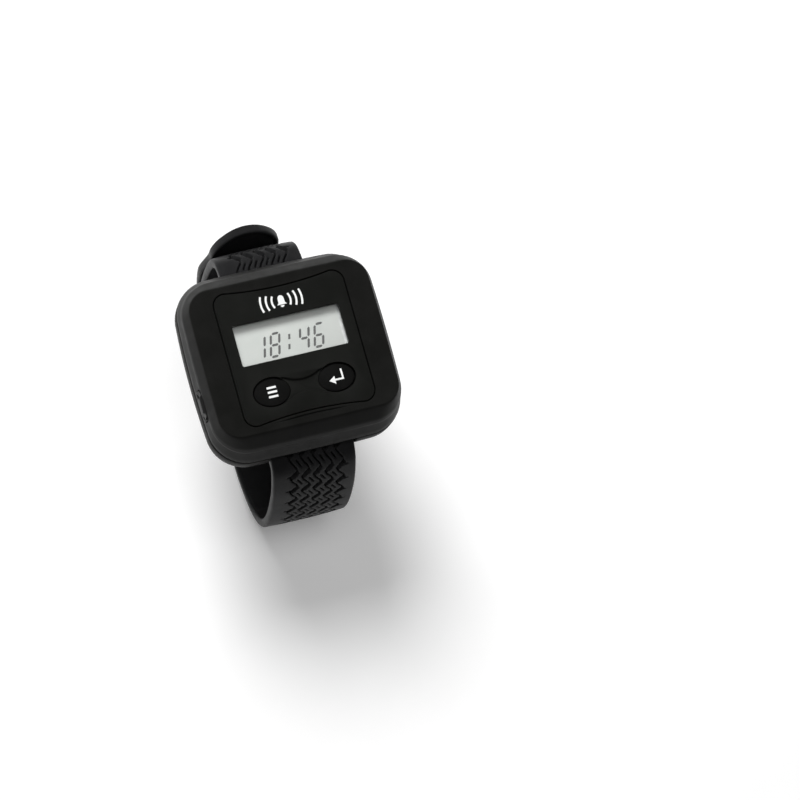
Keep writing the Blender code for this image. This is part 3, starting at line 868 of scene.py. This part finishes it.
def tread(x, s):
    """Depth of the tread pattern, 0 to 1: zigzag grooves, every other leg a deep leaf."""
    x = x - TREAD_SHIFT
    phase = np.mod(s / TREAD_STEP, 1.0)
    swing = 0.4 * (np.abs(phase * 4 - 2) - 1) + 0.6 * np.cos(2 * math.pi * phase)
    leaf = np.where(phase < 0.5, 1.0, 0.0)
    lean = 4 * TREAD_SWING / TREAD_STEP
    slant = math.hypot(1, lean)
    mid_leg = smooth((1 - np.abs(np.mod(phase * 2, 1.0) * 2 - 1)) * 1.7)
    half = 0.18 + leaf * 0.42 * mid_leg
    deep = 0.75 + 0.25 * leaf * mid_leg
    depth = np.zeros_like(x)
    for k in range(-2, 3):
        away = np.abs(x - TREAD_PITCH * k - TREAD_SWING * swing) / slant
        depth = np.maximum(depth, deep * smooth((half + 0.1 - away) / 0.22))
    # a short sipe in each block, beside the narrow legs
    ds = (phase - 0.72) * TREAD_STEP
    for k in range(-2, 2):
        dx = x - TREAD_PITCH * (k + 0.45)
        across = np.abs(dx - lean * ds) / slant
        along = np.abs(ds + lean * dx) / slant
        depth = np.maximum(depth, 0.75 * smooth((0.27 - across) / 0.18) * smooth((1.2 - along) / 0.4))
    # wedges at the shoulders, pointing outwards
    reach = np.abs(x) - 6.6
    offset = np.where(x > 0, 0.25, 0.3)
    ds = (np.mod(s / TREAD_STEP - offset + 0.5, 1.0) - 0.5) * TREAD_STEP
    wide = 0.5 * np.clip(1 - reach / 2.0, 0, 1)
    wedge = smooth((wide - np.abs(ds)) / 0.25) * smooth(reach / 0.25)
    return np.maximum(depth, 0.8 * wedge)


EDGE_STEPS = (0.0, 0.012, 0.035, 0.07, 0.12)    # points near a side edge, in half widths
BEAD_STEPS = (0.125, 0.13, 0.135)               # points between the edge and the tread
EDGE_R = 0.55
BEAD_DEPTH = 0.12
CROWN = 0.0025                                  # fall of the outer face towards its sides
CHANNEL_DEPTH = 0.5


def stations(s0, s1, radius, end_round, bar_end):
    """Arc lengths of the cross-sections, closer together at a round end."""
    found = list(np.arange(s0, s1 - (radius if end_round else 0.0), FINE))
    if bar_end:
        found += [-LOOP_R * math.cos(math.radians(a)) for a in (2, 12, 24, 36, 48, 60, 72, 82)]
    if end_round:
        arc = np.radians(np.arange(0, 88.5, 90 * FINE / 12))
        found += list(s1 - radius + radius * np.sin(arc) + 1e-6)
    else:
        found.append(s1)
    return np.array(sorted(found))


def columns():
    """Points across the outer and the inner face, in half widths."""
    right = [1 - e for e in EDGE_STEPS]
    left = [-1 + e for e in EDGE_STEPS]
    middle = np.linspace(-0.86, 0.86, int(18.8 / FINE))
    outer = np.concatenate([left, [-1 + b for b in BEAD_STEPS], middle,
                            [1 - b for b in BEAD_STEPS[::-1]], right[::-1]])
    inner = np.concatenate([right, np.linspace(0.87, -0.87, 30), left[::-1]])
    return outer, inner


def outer_cut(x, s, to_edge, tread_from, tread_to, collars):
    """How far the treaded face lies under a plain strap's face."""
    keep = smooth((s - tread_from) / 0.8) * smooth((tread_to - s) / 0.8)
    keep = keep * smooth((to_edge - 1.4) / 0.5)
    for middle, clear in collars:
        keep = keep * smooth((np.hypot(x, s - middle) - clear) / 0.5)
    bead = smooth((0.16 - np.abs(to_edge - 0.95)) / 0.12) * smooth((s - tread_from) / 0.8)
    return TREAD_DEPTH * tread(x, s) * keep + BEAD_DEPTH * bead + CROWN * x * x


def strap_mesh(name, loops):
    """Strap object through closed cross-sections, capped at both ends."""
    n, m = loops.shape[:2]
    idx = np.arange(n * m).reshape(n, m)
    a = idx[:-1, :]
    b = idx[1:, :]
    quads = np.stack([a, b, np.roll(b, -1, 1), np.roll(a, -1, 1)], 2).reshape(-1, 4)
    faces = quads.tolist() + [idx[0].tolist(), idx[-1][::-1].tolist()]
    mesh = bpy.data.meshes.new(name)
    mesh.from_pydata((loops.reshape(-1, 3) * MM).tolist(), [], faces)
    mesh.update()
    bm = bmesh.new()
    bm.from_mesh(mesh)
    bmesh.ops.recalc_face_normals(bm, faces=bm.faces)
    bm.to_mesh(mesh)
    bm.free()
    obj = bpy.data.objects.new(name, mesh)
    SCENE.collection.objects.link(obj)
    mesh.materials.append(MAT["strap"])
    shade(obj, 60)
    return obj


def strap(name, route, s0, s1, end_round=False, bar_end=False, tread_from=0.0, tread_to=1e9, collars=()):
    """Closed strap body from s0 to s1: treaded outside but plain round the collars, rimmed inside."""
    radius = TAIL_HALF if end_round else STRAP_HALF
    s = stations(s0, s1, radius, end_round, bar_end)
    half = np.full_like(s, STRAP_HALF)
    if end_round:
        centre = s1 - radius
        past = np.clip(s - centre, 0, radius)
        half = np.sqrt(np.maximum(radius ** 2 - past ** 2, 0.01))
        half = half + (STRAP_HALF - TAIL_HALF) * smooth((centre - s) / 12.0)
    y, z, ny, nz = route.at(s)
    base = np.full_like(s, STRAP_T)
    if bar_end:
        round_end = np.sqrt(np.maximum(LOOP_R ** 2 - np.minimum(s, 0) ** 2, 0.0025))
        fade = smooth(s / 5.5)
        base = np.where(s < 0, round_end, LOOP_R + (STRAP_T - LOOP_R) * fade)

    def face(us, side):
        """Points of one face; side is +1 for the treaded face and -1 for the inner one."""
        x = us[None, :] * half[:, None]
        ss = np.repeat(s[:, None], len(us), 1)
        to_edge = half[:, None] - np.abs(x)
        if end_round:
            tip = radius - np.sqrt(x ** 2 + np.maximum(ss - centre, 0) ** 2)
            to_edge = np.where(ss > centre, tip, to_edge)
        to_edge = np.maximum(to_edge, 0)
        short_of = EDGE_R - np.minimum(to_edge, EDGE_R)
        h = base[:, None] - EDGE_R + np.sqrt(np.maximum(EDGE_R ** 2 - short_of ** 2, 0))
        if side > 0:
            h = h - outer_cut(x, ss, to_edge, tread_from, tread_to, collars)
        else:
            h = h - CHANNEL_DEPTH * smooth((to_edge - 0.85) / 0.3) * smooth((ss - 3.0) / 2.0)
        h = np.maximum(h, 0.05) * side
        return np.stack([x, y[:, None] + ny[:, None] * h, z[:, None] + nz[:, None] * h], 2)

    outer, inner = columns()
    return strap_mesh(name, np.concatenate([face(outer, 1), face(inner, -1)], 1))


def rear_run(route, z):
    """Arc length at which the strap's rear run passes height z."""
    away = np.where(route.pts[:, 0] > 28.0, np.abs(route.pts[:, 1] - z), 1e9)
    return route.s[np.argmin(away)]


def bar_eye(y):
    """Cutter for the hole that takes a spring bar."""
    return turned([(BAR_R + 0.3, -14.0), (BAR_R + 0.3, 14.0)], "X", (0, y, BAR_Z), 24)


def straps():
    short = Route(SHORT_PATH, 1)
    piece = strap("short_strap", short, 0.0, short.length, bar_end=True, tread_from=1.6,
                  tread_to=short.length - 1.2, collars=[(rear_run(short, STUD_Z), STUD_COLLAR)])
    hole = bar_eye(BAR_Y)
    eye = turned([(STUD_R + 0.3, 26.0), (STUD_R + 0.3, 40.0)], "Y", (0, 0, STUD_Z), 32)
    cut(piece, hole, eye)
    shade(piece, 60)
    place(piece, "strap_short", "strap_rubber", "strap_short")

    long = Route(LONG_PATH, -1)
    flex = long.s[np.argmin(np.hypot(long.pts[:, 0] - 22.0, long.pts[:, 1] + 38.4))]
    flex = round(flex / TREAD_STEP) * TREAD_STEP
    piece = strap("long_strap", long, 0.0, flex, bar_end=True, tread_from=1.2)
    hole = bar_eye(-BAR_Y)
    cut(piece, hole)
    shade(piece, 60)
    place(piece, "strap_long", "strap_rubber", "strap_long")

    heights = [STUD_Z + SLOT_UP, STUD_Z + SLOT_UP - SLOT_PITCH]
    tail = strap("strap_end", long, flex, long.length, end_round=True,
                 collars=[(rear_run(long, z), SLOT_COLLAR) for z in heights])
    for z in heights:
        slot = outline(SLOT_W, SLOT_L, SLOT_W / 2 - 0.05, corner=10, edge=2, cy=z)
        cut(tail, prism_y(slot, 24.0, 44.0))
    shade(tail, 60)
    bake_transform(tail)
    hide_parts("strap_tail")


def stud():
    profile = [(0.01, 28.5), (2.6, 28.5), (3.0, 28.62), (3.1, 28.8), (3.1, 29.1), (2.9, 29.18), (1.5, 29.2),
               (STUD_R, 29.4), (STUD_R, 34.7), (STUD_R - 0.12, 35.1), (STUD_R - 0.45, 35.35), (0.01, 35.4)]
    obj = finish_mesh("strap_stud", turned(profile, "Y", (0, 0, STUD_Z), 40), "stud")
    return place(obj, "strap_short", "chip_black", "closure_stud")


def bars():
    tip = BAR_R - 0.25
    half = NOTCH_W / 2
    end = [(0.05, 1.3), (tip - 0.1, 1.3), (tip, 1.15), (tip, -0.2), (BAR_R - 0.08, -0.22), (BAR_R, -0.35)]
    profile = [(r, -half - h) for r, h in end] + [(r, half + h) for r, h in end[::-1]]
    for node, side in (("spring_bar_12", 1), ("spring_bar_6", -1)):
        obj = finish_mesh(node + "_pin", turned(profile, "X", (0, side * BAR_Y, BAR_Z), 28), "steel")
        place(obj, "case", "bright_steel", node)


# ---- CAD nodes that stay ---------------------------------------------------
KEPT = {
    "case_gasket": "seal", "light_guide": "guide", "lcd_connector": "seal", "mode_switch": "chip",
    "enter_switch": "chip", "main_board": "board", "processor_chip": "chip", "radio_chip": "chip",
    "crystal_can": "steel", "antenna_coil": "copper", "battery": "foil", "battery_pad": "foam",
    "vibration_motor": "steel", "motor_weight": "weight", "buzzer": "chip", "charging_socket": "steel",
}


def dress_kept_nodes():
    for node, key in KEPT.items():
        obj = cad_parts[node]
        obj.data.materials.clear()
        obj.data.materials.append(MAT[key])


# ---- stage -----------------------------------------------------------------
def stage():
    bm = bmesh.new()
    bmesh.ops.create_grid(bm, x_segments=2, y_segments=2, size=2500)
    floor = finish_mesh("floor", bm, "floor")
    floor.location.z = CAD_BOX[0][2] - 0.0004


def area_light(name, direction, distance, size, power):
    data = bpy.data.lights.new(name, "AREA")
    data.shape = "DISK"
    data.size = size
    data.energy = power
    lamp = bpy.data.objects.new(name, data)
    SCENE.collection.objects.link(lamp)
    way = Vector(direction).normalized()
    lamp.location = way * distance
    lamp.visible_glossy = False
    lamp.rotation_euler = way.to_track_quat("Z", "Y").to_euler()


BACKDROP_WAY = (-0.1, 0.97, 0.2)
ROOM_LIGHT = 0.045
BACKDROP_LIGHT = 2.0
KEY_POWER = 16.5
FILL_POWER = 5.5


def studio_world():
    """White backdrop low at the 12 o'clock side, dim room in front."""
    world = bpy.data.worlds.new("studio")
    world.use_nodes = True
    tree = world.node_tree
    coords = tree.nodes.new("ShaderNodeTexCoord")
    facing = tree.nodes.new("ShaderNodeVectorMath")
    facing.operation = "DOT_PRODUCT"
    facing.inputs[1].default_value = BACKDROP_WAY
    tree.links.new(coords.outputs["Generated"], facing.inputs[0])
    fade = tree.nodes.new("ShaderNodeMapRange")
    fade.interpolation_type = "SMOOTHSTEP"
    fade.inputs["From Min"].default_value = 0.35
    fade.inputs["From Max"].default_value = 0.95
    fade.inputs["To Min"].default_value = ROOM_LIGHT
    fade.inputs["To Max"].default_value = BACKDROP_LIGHT
    tree.links.new(facing.outputs["Value"], fade.inputs["Value"])
    tree.links.new(fade.outputs["Result"], tree.nodes["Background"].inputs["Strength"])
    SCENE.world = world


def lights():
    studio_world()
    area_light("key_back", (-0.2, 1.0, 1.2), 1.2, 0.6, KEY_POWER)
    area_light("fill_top", (0.0, -0.1, 1.0), 1.2, 0.8, FILL_POWER)
    SCENE.view_settings.view_transform = "Standard"
    SCENE.view_settings.look = "None"


CAMERA_ANGLES = (-51.634, 72.428, 36.952)     # azimuth, elevation and roll in degrees
CAMERA_TARGET = (24.278, -17.279, 8.0)
CAMERA_DISTANCE = 810.56
CAMERA_LENS = 145.73


def camera():
    data = bpy.data.cameras.new("camera")
    data.lens = CAMERA_LENS
    data.sensor_width = 36.0
    data.clip_start = 0.05
    data.clip_end = 20.0
    cam = bpy.data.objects.new("camera", data)
    SCENE.collection.objects.link(cam)
    azimuth, elevation, roll = (math.radians(a) for a in CAMERA_ANGLES)
    away = Vector((math.sin(azimuth) * math.cos(elevation),
                   -math.cos(azimuth) * math.cos(elevation), math.sin(elevation)))
    target = Vector(CAMERA_TARGET) * MM
    right = Vector((0, 0, 1)).cross(away).normalized()
    up = away.cross(right)
    side = right * math.cos(roll) + up * math.sin(roll)
    top = away.cross(side)
    turn = Matrix((side, top, away)).transposed()
    cam.matrix_world = Matrix.Translation(target + away * CAMERA_DISTANCE * MM) @ turn.to_4x4()
    SCENE.camera = cam


dress_kept_nodes()
camera()
lights()
stage()
upper_case()
lower_case()
case_screws()
face_plate()
button("mode_button", -1)
button("enter_button", 1)
display()
signal_mark()
mode_mark()
enter_mark()
port_cover()
straps()
stud()
bars()
